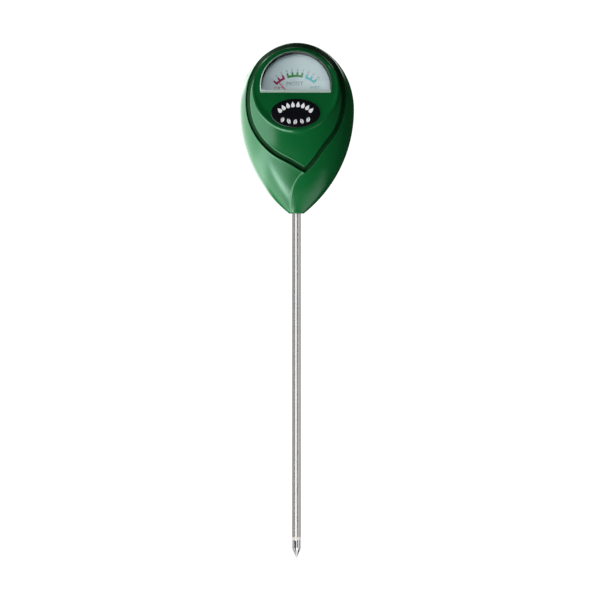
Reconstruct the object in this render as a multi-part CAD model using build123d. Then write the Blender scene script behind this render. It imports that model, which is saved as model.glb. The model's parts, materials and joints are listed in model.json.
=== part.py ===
from build123d import *
import os
from math import asin, cos, degrees, radians, sin

# Soil moisture meter: an egg-shaped head that holds a moving-coil meter, on a long probe made
# of two electrodes. All sizes are millimetres. The origin is where the probe leaves the head,
# +Z runs up through the head, the dial looks towards -Y and +X is the reader's right.

# ---- Head -----------------------------------------------------------------------------------
HALF_WIDTH = 32.2  # at the widest level
WIDEST_Z = 58.0
CROWN_HEIGHT = 37.5  # elliptical crown above the widest level
FLANK_R = 73.9  # circular flanks below it
FRONT_DEPTH = 21.5  # parting plane to the belly
REAR_DEPTH = 16.0  # parting plane to the back
WALL = 2.0
CAVITY_FLOOR = 7.0  # below this level the head is solid and grips the probe
NECK_R = 4.2
NECK_HEIGHT = 6.0
GAP = 0.02  # between pieces that are pressed or glued together
SLIP = 0.1  # round pieces that drop into a recess

# Flat meter face, leaning back, that carries the window and the badge
FACE_TILT = 15.0  # degrees
FACE_Y, FACE_Z = -14.8, 69.4
FACE_R = 22.8
FACE_WALL = 2.0
WINDOW_R = 20.0
WINDOW_V = 2.2  # centre of the window's arc above the middle of the face
WINDOW_SILL = -2.0  # straight lower edge
BADGE_V = -13.9
BADGE_RADII = (13.7, 8.25)
BADGE_SINK = 0.6
BADGE_THICK = 1.0

# Groove that parts the shield in the middle of the head from the leaves around it
GROOVE_HALF_WIDTH = 1.0
GROOVE_DEPTH = 0.9
SHIELD_MIDDLE_Z = 62.0
GROOVE_TIP = (5.3, 24.5)
GROOVE_TOP = (0.0, 94.0)
GROOVE_LEFT = [
    (-10.0, 91.8), (-18.5, 86.2), (-24.7, 75.1), (-26.6, 61.7), (-23.7, 48.3), (-12.8, 34.9), (-1.0, 28.1),
]
GROOVE_RIGHT = [(10.4, 91.6), (18.6, 86.0), (24.9, 75.1), (26.8, 61.7), (23.4, 48.3), (14.8, 36.0)]

# Screws that hold the two shells together, driven from behind: (x, z)
HOUSING_SCREWS = [(-24.3, 72.0), (24.3, 72.0), (0.0, 21.5)]
SCREW_R, SCREW_HEAD_R, SCREW_HEAD_H, SCREW_REACH = 1.2, 2.6, 1.8, 7.0
SCREW_SEAT_Y = 3.0
SCREW_WELL_R = 3.0
FRONT_BOSS_R, REAR_BOSS_R = 2.5, 4.2

# ---- Meter: depths are measured from the meter face and are negative going in ----------------
LENS_PROUD = 0.7
LENS_BEVEL = 0.6
FLANGE_MARGIN = 1.2
FLANGE_BACK = -3.2
SURROUND_WALL = 1.0
DIAL_FRONT, DIAL_BACK = -7.0, -7.8
DIAL_R = 20.9
DIAL_FOOT = -19.5  # lower edge of the dial plate
SPINDLE_V = -5.9  # spindle below the middle of the face
SPINDLE_HOLE_R = 3.4
REST_ANGLE = 40.0  # needle to the left of upright when the probe is dry
NEEDLE_LENGTH = 15.9
NEEDLE_BACK, NEEDLE_FRONT = -6.0, -5.7
NEEDLE_ROOT, NEEDLE_POINT = 0.45, 0.16  # half widths
BUSH_R = 1.5
WEIGHT_R, WEIGHT_LENGTH, WEIGHT_REACH = 0.65, 1.6, 4.4
STAFF_R = 0.4
PIVOT_FOOT_R, PIVOT_FOOT_H, PIVOT_POINT_R = 1.4, 0.4, 0.08
UPPER_BRIDGE_FRONT, UPPER_BRIDGE_BACK = -3.2, -4.2
LOWER_BRIDGE_FRONT, LOWER_BRIDGE_BACK = -22.6, -23.6
BRIDGE_WIDTH = 3.6
UPPER_SPRING = (-5.2, -4.8)
LOWER_SPRING = (-22.3, -21.9)
SPRING_STRIP = 0.12
YOKE_FRONT, YOKE_BACK = -11.4, -19.4
YOKE_R, YOKE_BORE_R = 10.0, 7.8
CORE_R = 5.2
POST_X, POST_R = 8.9, 0.9
FRAME_BACK = -13.4
FRAME_SCREWS = [(-18.0, -3.1), (18.0, -3.1)]  # from the spindle
FRAME_BOSS_R, FRAME_SCREW_R = 2.6, 1.0
FRAME_R, EAR_R = 12.4, 3.0
DIAL_SCREWS = [(-8.5, -10.5), (8.5, -10.5)]  # from the spindle
DIAL_SCREW_R, DIAL_PILLAR_R = 0.7, 1.5
TERMINALS = [(-4.0, -13.5), (4.0, -13.5)]  # from the spindle
TAB_WIDTH, TAB_THICK, TAB_LENGTH = 2.0, 0.6, 6.6
FORMER_HALF, FORMER_WALL, FORMER_THICK = 6.1, 0.4, 3.0
FORMER_FRONT, FORMER_BACK = -10.6, -20.2
WINDING_HALF, WINDING_THICK = 7.2, 2.6
WINDING_FRONT, WINDING_BACK = -9.6, -21.2
JEWEL_R = 1.2

# ---- Probe ----------------------------------------------------------------------------------
PROBE_R = 2.5
PROBE_LENGTH = 181.4  # exposed tube
TUBE_BORE_R = 1.9
SHANK_R = 2.25  # turned-down end inside the head
TUBE_TOP = 11.5
RING_H = 1.4
TIP_R = 2.33  # the ring and the tip, a little thinner than the tube
TIP_BARREL = 5.1
TIP_POINT = 5.0
FLUTES = 5
FIRST_FLUTE = -100.0  # degrees round from +X
FLUTE_R = 0.75
CORE_ROD_R = 1.0
CORE_ROD_TOP = 17.0
TIP_SOCKET = 4.0
COLLAR_R, COLLAR_H = 3.9, 2.4
LINER_PROUD = 1.5  # liner above the top of the tube
CORE_LUG_R = 2.8
LUG_THICK = 0.5
NUT_R, NUT_H = 2.2, 1.8
LUG_TAIL = 2.6  # from a lug's ring to the joint with its lead
LEAD_R = 0.55

FACE = Plane(
    origin=(0, FACE_Y, FACE_Z),
    x_dir=(1, 0, 0),
    z_dir=(0, -cos(radians(FACE_TILT)), sin(radians(FACE_TILT))),
).location
SPINDLE = FACE * Pos(0, SPINDLE_V, 0)
AT_REST = SPINDLE * Rot(0, 0, REST_ANGLE)


# ---- Shared shapes --------------------------------------------------------------------------
def slab(outline, low, high):
    """A flat drawing made solid between two levels."""
    return Pos(0, 0, low) * extrude(outline, high - low)


def rod(radius, low, high):
    """Round bar on the Z axis between two levels."""
    return slab(Circle(radius), low, high)


def ring(outer, inner, low, high):
    """Round sleeve on the Z axis between two levels."""
    return slab(Circle(outer) - Circle(inner), low, high)


def cone(low_r, high_r, low, high):
    """Cone on the Z axis between two levels."""
    return Pos(0, 0, low) * Cone(low_r, high_r, high - low, align=(Align.CENTER, Align.CENTER, Align.MIN))


def crosswise(radius, x, z, near_y, far_y):
    """Round bar along +Y through (x, z)."""
    bar = Cylinder(radius, far_y - near_y, align=(Align.CENTER, Align.CENTER, Align.MIN))
    return Pos(x, near_y, z) * Rot(-90, 0, 0) * bar


def head_half(depth, inset=0.0, floor=0.0):
    """Half of the head behind (or, for a negative depth, before) the parting plane.
    Its skin is moved in by inset, and it starts at the level of floor."""
    flank_r = FLANK_R - inset
    drop = degrees(asin((WIDEST_Z - floor) / flank_r))
    flank = CenterArc((HALF_WIDTH - FLANK_R, WIDEST_Z), flank_r, -drop, drop)
    crown = EllipticalCenterArc((0, WIDEST_Z), HALF_WIDTH - inset, CROWN_HEIGHT - inset)
    axis = Line(crown @ 1, (0, floor))
    base = Line(axis @ 1, flank @ 0)
    profile = make_face([flank, crown, axis, base])
    half = revolve(Plane.XZ * profile, Axis.Z, revolution_arc=180)
    squash = (abs(depth) - inset) / (HALF_WIDTH - inset)
    half = scale(half, by=(1, squash, 1))
    return Rot(0, 0, 180) * half if depth < 0 else half


def neck_half(side):
    """Half of the round neck at the head's underside; side is 1 behind the parting plane, -1 before it."""
    keep = Pos(0, side * NECK_R, NECK_HEIGHT / 2) * Box(2 * NECK_R, 2 * NECK_R, NECK_HEIGHT)
    return rod(NECK_R, 0, NECK_HEIGHT) & keep


def probe_bore():
    """Hole through the neck for the turned-down end of the probe."""
    return rod(SHANK_R + GAP, -1, CAVITY_FLOOR + 1)


def window_outline(margin=0.0):
    """D-shaped outline of the window, grown by margin."""
    disc = Pos(0, WINDOW_V) * Circle(WINDOW_R + margin)
    below = Rectangle(3 * WINDOW_R, 2 * WINDOW_R, align=(Align.CENTER, Align.MAX))
    return disc - Pos(0, WINDOW_SILL - margin) * below


def badge_outline(margin=0.0):
    """Oval outline of the badge, grown by margin."""
    return Pos(0, BADGE_V) * Ellipse(BADGE_RADII[0] + margin, BADGE_RADII[1] + margin)


# ---- Housing --------------------------------------------------------------------------------
def shield_outline(margin):
    """Outline of the shield, its points moved away from the middle of the shield by margin."""
    def moved(point):
        away = Vector(point[0], point[1] - SHIELD_MIDDLE_Z).normalized() * margin
        return point[0] + away.X, point[1] + away.Y

    left = Spline([moved(point) for point in (GROOVE_TIP, *reversed(GROOVE_LEFT), GROOVE_TOP)])
    right = Spline([moved(point) for point in (GROOVE_TOP, *GROOVE_RIGHT, GROOVE_TIP)])
    return make_face([left, right])


def groove_band():
    """Bar in the shape of the groove, running forward through the front shell."""
    outline = shield_outline(GROOVE_HALF_WIDTH) - shield_outline(-GROOVE_HALF_WIDTH)
    return extrude(Plane.XZ * outline, 2 * FRONT_DEPTH)


def front_housing():
    skin = head_half(-FRONT_DEPTH) - FACE * rod(FACE_R, 0, 2 * FRONT_DEPTH)
    skin += FACE * rod(FACE_R, -2 * FACE_WALL, 0)
    skin += neck_half(-1)
    hollow = head_half(-FRONT_DEPTH, WALL, CAVITY_FLOOR)
    hollow -= FACE * rod(FACE_R + WALL, -FACE_WALL, 2 * FRONT_DEPTH)
    for x, z in HOUSING_SCREWS:
        hollow -= crosswise(FRONT_BOSS_R, x, z, -FRONT_DEPTH, 1)
    for x, v in FRAME_SCREWS:
        hollow -= SPINDLE * Pos(x, v) * rod(FRAME_BOSS_R, YOKE_FRONT, -FACE_WALL / 2)
    shell = skin - hollow
    for x, z in HOUSING_SCREWS:
        shell -= crosswise(SCREW_R + GAP, x, z, -SCREW_REACH - 1, 1)
    for x, v in FRAME_SCREWS:
        shell -= SPINDLE * Pos(x, v) * rod(FRAME_SCREW_R + GAP, YOKE_FRONT - 1, -FACE_WALL - 1)
    shell -= FACE * slab(window_outline(GAP), -2 * FACE_WALL, 1)
    shell -= FACE * slab(window_outline(FLANGE_MARGIN + GAP), FLANGE_BACK - 1, -FACE_WALL)
    shell -= FACE * slab(badge_outline(GAP), -BADGE_SINK, 1)
    shell -= probe_bore()
    return shell - (groove_band() - head_half(-FRONT_DEPTH, GROOVE_DEPTH))


def rear_housing():
    hollow = head_half(REAR_DEPTH, WALL, CAVITY_FLOOR)
    for x, z in HOUSING_SCREWS:
        hollow -= crosswise(REAR_BOSS_R, x, z, -1, 2 * REAR_DEPTH)
    shell = head_half(REAR_DEPTH) + neck_half(1) - hollow
    for x, z in HOUSING_SCREWS:
        shell -= crosswise(SCREW_WELL_R, x, z, SCREW_SEAT_Y, 2 * REAR_DEPTH)
        shell -= crosswise(SCREW_R + SLIP, x, z, -1, SCREW_SEAT_Y)
    return shell - probe_bore()


def cross_head_screw(shank_r, reach, head_r, head_h):
    """Pan-head screw with a cross recess; the head stands on the XY plane."""
    head = rod(head_r, 0, head_h)
    head = fillet(head.edges().group_by(Axis.Z)[-1], head_h * 0.45)
    slot = Box(head_r * 1.1, head_r * 0.24, head_h, align=(Align.CENTER, Align.CENTER, Align.MIN))
    head -= Pos(0, 0, head_h * 0.45) * (slot + Rot(0, 0, 90) * slot)
    point = cone(shank_r * 0.4, shank_r, -reach, -reach + shank_r)
    return head + rod(shank_r, -reach + shank_r, 0) + point


def housing_screws():
    screw = cross_head_screw(SCREW_R, SCREW_SEAT_Y + SCREW_REACH, SCREW_HEAD_R, SCREW_HEAD_H)
    return [Pos(x, SCREW_SEAT_Y, z) * Rot(-90, 0, 0) * screw for x, z in HOUSING_SCREWS]


def window_lens():
    """Clear cover with a bevelled rim, glued in from behind by its flange."""
    pane = slab(window_outline(), -FACE_WALL, LENS_PROUD)
    pane = chamfer(pane.faces().sort_by(Axis.Z)[-1].edges(), LENS_BEVEL)
    flange = slab(window_outline(FLANGE_MARGIN), FLANGE_BACK, -FACE_WALL)
    return FACE * (pane + flange)


def badge_plate():
    oval = slab(badge_outline(), -BADGE_SINK, BADGE_THICK - BADGE_SINK)
    return FACE * fillet(oval.faces().sort_by(Axis.Z)[-1].edges(), 0.25)


# ---- Dial -----------------------------------------------------------------------------------
def dial_surround():
    """Curved wall that fills the depth between the window and the dial."""
    wall = window_outline(SURROUND_WALL) - window_outline() - Pos(0, -WINDOW_R - 1) * Rectangle(
        3 * WINDOW_R, 2 * WINDOW_R
    )
    return FACE * slab(wall, DIAL_FRONT, FLANGE_BACK)


def dial_plate():
    disc = Pos(0, WINDOW_V) * Circle(DIAL_R)
    tongue = Rectangle(24, WINDOW_V - DIAL_FOOT, align=(Align.CENTER, Align.MIN))
    corner = Rectangle(3 * DIAL_R, DIAL_R, align=(Align.CENTER, Align.MAX))
    outline = (disc - Pos(0, -13) * corner) + Pos(0, DIAL_FOOT) * tongue
    outline -= Pos(0, SPINDLE_V) * Circle(SPINDLE_HOLE_R)
    for x in (-POST_X, POST_X):
        outline -= Pos(x, SPINDLE_V) * Circle(POST_R + SLIP)
    for x, v in DIAL_SCREWS:
        outline -= Pos(x, SPINDLE_V + v) * Circle(DIAL_SCREW_R + SLIP)
    for x in (-FRAME_SCREWS[1][0], FRAME_SCREWS[1][0]):
        outline -= Pos(x, SPINDLE_V + FRAME_SCREWS[1][1]) * Circle(FRAME_BOSS_R + SLIP)
    return FACE * slab(outline, DIAL_BACK, DIAL_FRONT)


def dial_screws():
    screw = cross_head_screw(DIAL_SCREW_R, 3.0, 2 * DIAL_SCREW_R, 0.9)
    return [SPINDLE * Pos(x, v, DIAL_FRONT) * screw for x, v in DIAL_SCREWS]


def needle_stops():
    """Two pins on the dial that end the needle's travel."""
    stop_r, reach, spread = 0.45, 7.0, REST_ANGLE + 7.3
    pin = Pos(0, reach) * rod(stop_r, DIAL_FRONT, -5.0)
    return [SPINDLE * Rot(0, 0, angle) * pin for angle in (-spread, spread)]


# ---- Moving system, drawn with the needle upright and then turned to rest ---------------------
def pointer_hub():
    """Bush on the staff that carries the needle and the inner end of the hairspring."""
    bush = ring(BUSH_R, STAFF_R + GAP, NEEDLE_BACK - 0.4, NEEDLE_FRONT + 0.4)
    collet = ring(0.8, STAFF_R + GAP, NEEDLE_FRONT + 0.4, UPPER_SPRING[1] - 0.1)
    return AT_REST * (bush + collet)


def pointer_needle():
    """Flat needle with a tail and two side arms for the balance weights."""
    eye = Circle(BUSH_R + 0.5) - Circle(BUSH_R + GAP)
    foot = BUSH_R + 0.3
    corners = [
        (-NEEDLE_ROOT, foot), (NEEDLE_ROOT, foot),
        (NEEDLE_POINT, NEEDLE_LENGTH), (-NEEDLE_POINT, NEEDLE_LENGTH),
    ]
    blade = make_face(Polyline(*corners, close=True))
    tail = Pos(0, -4.0) * Rectangle(0.5, 4.4)
    arms = Pos(-3.6, 0) * Rectangle(3.6, 0.5) + Pos(3.6, 0) * Rectangle(3.6, 0.5)
    return AT_REST * slab(eye + blade + tail + arms, NEEDLE_BACK, NEEDLE_FRONT)


def balance_weights():
    """Wire weights wound on the tail and the side arms."""
    middle = (NEEDLE_BACK + NEEDLE_FRONT) / 2
    bead = rod(WEIGHT_R, -WEIGHT_LENGTH / 2, WEIGHT_LENGTH / 2) - Box(0.5 + GAP, 0.3 + GAP, 4)
    placed = [Pos(0, -5.2, middle) * Rot(90, 0, 0) * bead]
    for x in (-WEIGHT_REACH, WEIGHT_REACH):
        placed.append(Pos(x, 0, middle) * Rot(0, 90, 0) * Rot(0, 0, 90) * bead)
    return [AT_REST * bead_at for bead_at in placed]


def coil_frame(half, front, back, inner_half, inner_front, inner_back, thick, corner):
    """Rectangular frame that stands around the magnet core, thick across and open through X."""
    outer = Rectangle(2 * half, front - back)
    outer = fillet(outer.vertices(), corner)
    inner = Rectangle(2 * inner_half, inner_front - inner_back)
    inner = Pos(0, (inner_front + inner_back - front - back) / 2) * inner
    lying = extrude(Plane.YZ * (outer - inner), thick / 2, both=True)
    return Pos(0, 0, (front + back) / 2) * lying


def coil_former():
    inside = FORMER_HALF - FORMER_WALL
    frame = coil_frame(
        FORMER_HALF, FORMER_FRONT, FORMER_BACK,
        inside, FORMER_FRONT - FORMER_WALL, FORMER_BACK + FORMER_WALL, FORMER_THICK, 0.3,
    )
    return AT_REST * frame


def coil_winding():
    wound = coil_frame(
        WINDING_HALF, WINDING_FRONT, WINDING_BACK,
        FORMER_HALF + GAP, FORMER_FRONT + GAP, FORMER_BACK - GAP, WINDING_THICK, 0.9,
    )
    return AT_REST * wound


def upper_pivot():
    foot = rod(PIVOT_FOOT_R, WINDING_FRONT, WINDING_FRONT + PIVOT_FOOT_H)
    staff = rod(STAFF_R, WINDING_FRONT + PIVOT_FOOT_H, -5.0)
    return AT_REST * (foot + staff + cone(STAFF_R, PIVOT_POINT_R, -5.0, -4.3))


def lower_pivot():
    foot = rod(PIVOT_FOOT_R, WINDING_BACK - PIVOT_FOOT_H, WINDING_BACK)
    staff = rod(STAFF_R, LOWER_BRIDGE_FRONT, WINDING_BACK - PIVOT_FOOT_H)
    point = cone(PIVOT_POINT_R, STAFF_R, LOWER_BRIDGE_FRONT - 0.7, LOWER_BRIDGE_FRONT)
    return AT_REST * (foot + staff + point)


# ---- Fixed meter parts ----------------------------------------------------------------------
def hairspring(low, high):
    """Flat spiral of bronze strip around the staff."""
    inner_r, outer_r, turns = 0.95, 3.0, 3
    steps_per_turn = 12
    count = turns * steps_per_turn
    points = []
    for step in range(count + 1):
        radius = inner_r + (outer_r - inner_r) * step / count
        angle = radians(-90 + 360 * step / steps_per_turn)
        points.append((radius * cos(angle), radius * sin(angle)))
    outline = trace(Spline(points), SPRING_STRIP)
    return SPINDLE * slab(outline, low, high)


def jewel_screw(tip, end, cup_depth):
    """Bearing screw on the staff's axis: a cup at tip takes the pivot, a slot is cut at end."""
    low, high = min(tip, end), max(tip, end)
    inward = 1 if end > tip else -1
    cup = cone(0.65, 0.12, 0, cup_depth)
    cup = Pos(0, 0, tip) * (cup if inward > 0 else Rot(180, 0, 0) * cup)
    slot = Pos(0, 0, end) * Box(3 * JEWEL_R, 0.4, 0.8)
    return SPINDLE * (rod(JEWEL_R, low, high) - cup - slot)


def bridge(front, back, post_from, post_to):
    """Bar across the yoke on two posts, with a hole for its jewel screw."""
    bar = SlotCenterToCenter(2 * POST_X, BRIDGE_WIDTH) - Circle(JEWEL_R + GAP)
    posts = [Pos(x, 0) * rod(POST_R, post_from, post_to) for x in (-POST_X, POST_X)]
    return slab(bar, back, front) + posts


def upper_bridge():
    return SPINDLE * bridge(UPPER_BRIDGE_FRONT, UPPER_BRIDGE_BACK, YOKE_FRONT, UPPER_BRIDGE_BACK + 0.2)


def lower_bridge():
    spring_stud = Pos(0, -3.4) * rod(0.3, LOWER_BRIDGE_BACK, LOWER_SPRING[1])
    foot = slab(Pos(0, -2.6) * Rectangle(1.0, 2.4), LOWER_BRIDGE_BACK, LOWER_BRIDGE_FRONT)
    frame = bridge(LOWER_BRIDGE_FRONT, LOWER_BRIDGE_BACK, LOWER_BRIDGE_FRONT - 0.2, YOKE_BACK)
    return SPINDLE * (frame + foot + spring_stud)


def zero_adjuster():
    """Lever that turns on the upper jewel screw and holds the hairspring's outer end."""
    eye = Circle(2.3) - Circle(JEWEL_R + 0.05)
    width, reach, thick = 1.2, 8.0, 0.5
    fork = Pos(0, -reach + 0.4) * Rectangle(0.5, 1.6)
    arm = Pos(0, -reach) * Rectangle(width, 6.0, align=(Align.CENTER, Align.MIN)) - fork
    finger = Pos(0, -3.9) * slab(Rectangle(width, 0.5), UPPER_SPRING[0], UPPER_BRIDGE_FRONT + 0.2)
    plate = slab(eye + arm, UPPER_BRIDGE_FRONT + GAP, UPPER_BRIDGE_FRONT + thick)
    return SPINDLE * (plate + finger)


def magnet_core():
    return SPINDLE * chamfer(rod(CORE_R, YOKE_BACK, YOKE_FRONT).edges().filter_by(GeomType.CIRCLE), 0.3)


def yoke_ring():
    return SPINDLE * ring(YOKE_R, YOKE_BORE_R, YOKE_BACK, YOKE_FRONT)


def core_holders():
    """Spacers that hold the core in the middle of the yoke, clear of the coil's travel."""
    gap_ring = Circle(YOKE_BORE_R - GAP) - Circle(CORE_R + GAP)
    wedge = make_face(Polyline((0, 0), (12, -3.9), (12, 3.9), close=True))
    sector = slab(gap_ring & wedge, YOKE_BACK, YOKE_FRONT)
    return [SPINDLE * Rot(0, 0, angle) * sector for angle in (0, 180)]


def movement_frame():
    """Plastic frame around the yoke: ears for its screws, pillars for the dial, slots for the tabs."""
    outline = Circle(FRAME_R) + Rectangle(2 * FRAME_SCREWS[1][0], 2 * FRAME_BOSS_R)
    outline += Pos(0, -12.5) * Rectangle(22, 6)
    for x, v in FRAME_SCREWS:
        outline += Pos(x, v) * Circle(EAR_R)
        outline += Pos(x * 0.8, v) * Rectangle(8, 2 * FRAME_BOSS_R)
    outline -= Circle(YOKE_R + GAP)
    for x, v in FRAME_SCREWS:
        outline -= Pos(x, v) * Circle(FRAME_SCREW_R + SLIP)
    for x, v in TERMINALS:
        outline -= Pos(x, v) * Rectangle(TAB_WIDTH + 2 * GAP, TAB_THICK + 2 * GAP)
    frame = slab(outline, FRAME_BACK, YOKE_FRONT)
    for x, v in DIAL_SCREWS:
        frame += Pos(x, v) * rod(DIAL_PILLAR_R, YOKE_FRONT, DIAL_BACK)
        frame -= Pos(x, v) * rod(DIAL_SCREW_R + GAP, DIAL_BACK - 2.6, DIAL_BACK + 1)
    return SPINDLE * frame


def movement_screws():
    screw = Rot(180, 0, 0) * cross_head_screw(FRAME_SCREW_R, 8.0, 2.0, 1.4)
    return [SPINDLE * Pos(x, v, FRAME_BACK) * screw for x, v in FRAME_SCREWS]


def terminal_tab(place):
    """Brass solder tab pushed through the frame, with an eye at its rear end."""
    x, v = place
    eye = Pos(0, 0, -2.4) * Rot(90, 0, 0) * Cylinder(0.5, 2)
    blade = Box(TAB_WIDTH, TAB_THICK, TAB_LENGTH) - eye
    return SPINDLE * Pos(x, v, FRAME_BACK + 1.0) * blade


# ---- Probe ----------------------------------------------------------------------------------
def probe_tube():
    tube = rod(PROBE_R, -PROBE_LENGTH, 0) + rod(SHANK_R, 0, TUBE_TOP)
    return tube - rod(TUBE_BORE_R, -PROBE_LENGTH - 1, TUBE_TOP + 1)


def probe_liner():
    return ring(TUBE_BORE_R - GAP, CORE_ROD_R + GAP, -PROBE_LENGTH + 5, TUBE_TOP + LINER_PROUD)


def insulator_ring():
    """Plastic ring between the two electrodes, with a spigot inside the tube."""
    flange = rod(TIP_R, -PROBE_LENGTH - RING_H, -PROBE_LENGTH)
    spigot = rod(TUBE_BORE_R - GAP, -PROBE_LENGTH, -PROBE_LENGTH + 4.9)
    return flange + spigot - rod(CORE_ROD_R + GAP, -PROBE_LENGTH - RING_H - 1, -PROBE_LENGTH + 6)


def probe_tip():
    """Pointed inner electrode, fluted along its sides."""
    top = -PROBE_LENGTH - RING_H
    shoulder = top - TIP_BARREL
    tip = rod(TIP_R, shoulder, top) + cone(0.15, TIP_R, shoulder - TIP_POINT, shoulder)
    for index in range(FLUTES):
        flute = Pos(TIP_R + 0.45, 0) * rod(FLUTE_R, shoulder - TIP_POINT - 1, top - 0.6)
        tip -= Rot(0, 0, FIRST_FLUTE + index * 360 / FLUTES) * flute
    return tip - rod(CORE_ROD_R + GAP, top - TIP_SOCKET, top + 1)


def core_rod():
    return rod(CORE_ROD_R, -PROBE_LENGTH - RING_H - TIP_SOCKET, CORE_ROD_TOP)


def probe_collar():
    return ring(COLLAR_R, SHANK_R + GAP, CAVITY_FLOOR, CAVITY_FLOOR + COLLAR_H)


def lug(bore_r, outer_r, level, direction):
    """Flat ring terminal with a tail on the side that direction gives."""
    tail = Pos(direction * (outer_r + 1.6), 0) * Rectangle(4.4, 2.0)
    return slab(Circle(outer_r) + tail - Circle(bore_r), level, level + LUG_THICK)


def sheath_lug():
    return lug(SHANK_R + GAP, COLLAR_R, CAVITY_FLOOR + COLLAR_H, 1)


def core_lug():
    return lug(CORE_ROD_R + GAP, CORE_LUG_R, TUBE_TOP + LINER_PROUD, -1)


def core_nut():
    low = TUBE_TOP + LINER_PROUD + LUG_THICK
    nut = slab(RegularPolygon(NUT_R, 6, major_radius=False), low, low + NUT_H)
    return nut - rod(CORE_ROD_R + GAP, low - 1, low + NUT_H + 1)


# ---- Leads ----------------------------------------------------------------------------------
def lead(lug_x, lug_level, place, lean):
    """Insulated lead from the tail of a ring lug up to a terminal tab: straight runs joined by arcs."""
    x, v = place
    tab = (SPINDLE * Pos(x, v, FRAME_BACK - 2.3 - LEAD_R)).position
    points = [
        (lug_x, 0, lug_level),
        (lug_x, 0, lug_level + 7.5),
        (lug_x + lean, 2, lug_level + 15.5),
        (tab.X, 3, lug_level + 23.5),
        (tab.X, tab.Y + 4, tab.Z - 3),
        (tab.X, tab.Y, tab.Z),
    ]
    path = FilletPolyline(*points, radius=[3.0, 4.0, 4.0, 2.0])
    start = Plane(origin=path @ 0, z_dir=path % 0)
    return sweep(start * Circle(LEAD_R), path=path)


def lead_red():
    return lead(-CORE_LUG_R - LUG_TAIL, TUBE_TOP + LINER_PROUD + LUG_THICK, TERMINALS[0], -3)


def lead_black():
    return lead(COLLAR_R + LUG_TAIL, CAVITY_FLOOR + COLLAR_H + LUG_THICK, TERMINALS[1], 3)


def write(name, shapes):
    """One STEP file for each node; a node may be a group of separate solids."""
    shapes = shapes if isinstance(shapes, list) else [shapes]
    solids = [solid for shape in shapes for solid in shape.solids()]
    export_step(solids[0] if len(solids) == 1 else Compound(children=solids), f"parts/{name}.step")


NODES = {
    "front_housing": front_housing,
    "rear_housing": rear_housing,
    "housing_screws": housing_screws,
    "window_lens": window_lens,
    "badge_plate": badge_plate,
    "dial_surround": dial_surround,
    "dial_plate": dial_plate,
    "dial_screws": dial_screws,
    "needle_stops": needle_stops,
    "pointer_needle": pointer_needle,
    "pointer_hub": pointer_hub,
    "balance_weights": balance_weights,
    "coil_former": coil_former,
    "coil_winding": coil_winding,
    "upper_pivot": upper_pivot,
    "lower_pivot": lower_pivot,
    "upper_hairspring": lambda: hairspring(*UPPER_SPRING),
    "lower_hairspring": lambda: hairspring(*LOWER_SPRING),
    "upper_jewel_screw": lambda: jewel_screw(-4.7, -2.5, 0.5),
    "lower_jewel_screw": lambda: jewel_screw(-22.9, -25.0, 0.6),
    "upper_bridge": upper_bridge,
    "lower_bridge": lower_bridge,
    "zero_adjuster": zero_adjuster,
    "magnet_core": magnet_core,
    "yoke_ring": yoke_ring,
    "core_holders": core_holders,
    "movement_frame": movement_frame,
    "movement_screws": movement_screws,
    "terminal_positive": lambda: terminal_tab(TERMINALS[0]),
    "terminal_negative": lambda: terminal_tab(TERMINALS[1]),
    "probe_tube": probe_tube,
    "probe_liner": probe_liner,
    "insulator_ring": insulator_ring,
    "probe_tip": probe_tip,
    "core_rod": core_rod,
    "probe_collar": probe_collar,
    "sheath_lug": sheath_lug,
    "core_lug": core_lug,
    "core_nut": core_nut,
    "lead_red": lead_red,
    "lead_black": lead_black,
}

os.makedirs("parts", exist_ok=True)
for node_name, build in NODES.items():
    write(node_name, build())
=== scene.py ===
import json
from math import asin, cos, pi, radians, sin

import bmesh
import bpy
import numpy as np
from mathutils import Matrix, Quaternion, Vector


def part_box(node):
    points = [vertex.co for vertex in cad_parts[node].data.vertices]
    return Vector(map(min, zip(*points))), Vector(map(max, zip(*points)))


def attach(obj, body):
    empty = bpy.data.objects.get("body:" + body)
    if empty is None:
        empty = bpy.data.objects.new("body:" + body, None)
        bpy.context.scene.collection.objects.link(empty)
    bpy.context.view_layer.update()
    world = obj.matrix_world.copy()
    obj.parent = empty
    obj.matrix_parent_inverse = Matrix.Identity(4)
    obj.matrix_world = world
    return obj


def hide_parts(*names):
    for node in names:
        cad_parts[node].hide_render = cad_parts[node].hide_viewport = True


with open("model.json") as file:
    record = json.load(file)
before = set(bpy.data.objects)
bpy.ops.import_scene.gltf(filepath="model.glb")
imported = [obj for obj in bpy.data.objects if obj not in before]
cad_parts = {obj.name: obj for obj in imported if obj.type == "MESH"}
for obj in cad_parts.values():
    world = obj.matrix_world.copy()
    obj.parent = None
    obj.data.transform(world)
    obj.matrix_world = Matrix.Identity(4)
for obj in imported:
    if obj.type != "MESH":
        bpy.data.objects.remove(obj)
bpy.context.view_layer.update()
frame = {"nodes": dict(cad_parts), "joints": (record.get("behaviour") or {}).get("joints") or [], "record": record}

# Shapes are worked out in millimetres and turned into metres when a mesh is made.
MM = 0.001


def box_mm(node):
    low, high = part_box(node)
    return np.array(low) / MM, np.array(high) / MM


# ---- Sizes taken from the frame --------------------------------------------------------------
SHELL_LOW, SHELL_HIGH = box_mm("front_housing")
HALF_WIDTH, CROWN_Z, FRONT_DEPTH = SHELL_HIGH[0], SHELL_HIGH[2], -SHELL_LOW[1]
SWING = next(joint for joint in frame["joints"] if joint["name"] == "needle_swing")
SPINDLE = np.array(SWING["pos_m"]) / MM
OUT = -np.array(SWING["axis"])  # out of the dial, towards the reader
TILT = asin(OUT[2])
UP = np.array([0, sin(TILT), cos(TILT)])
ACROSS = np.array([1.0, 0, 0])

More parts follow.
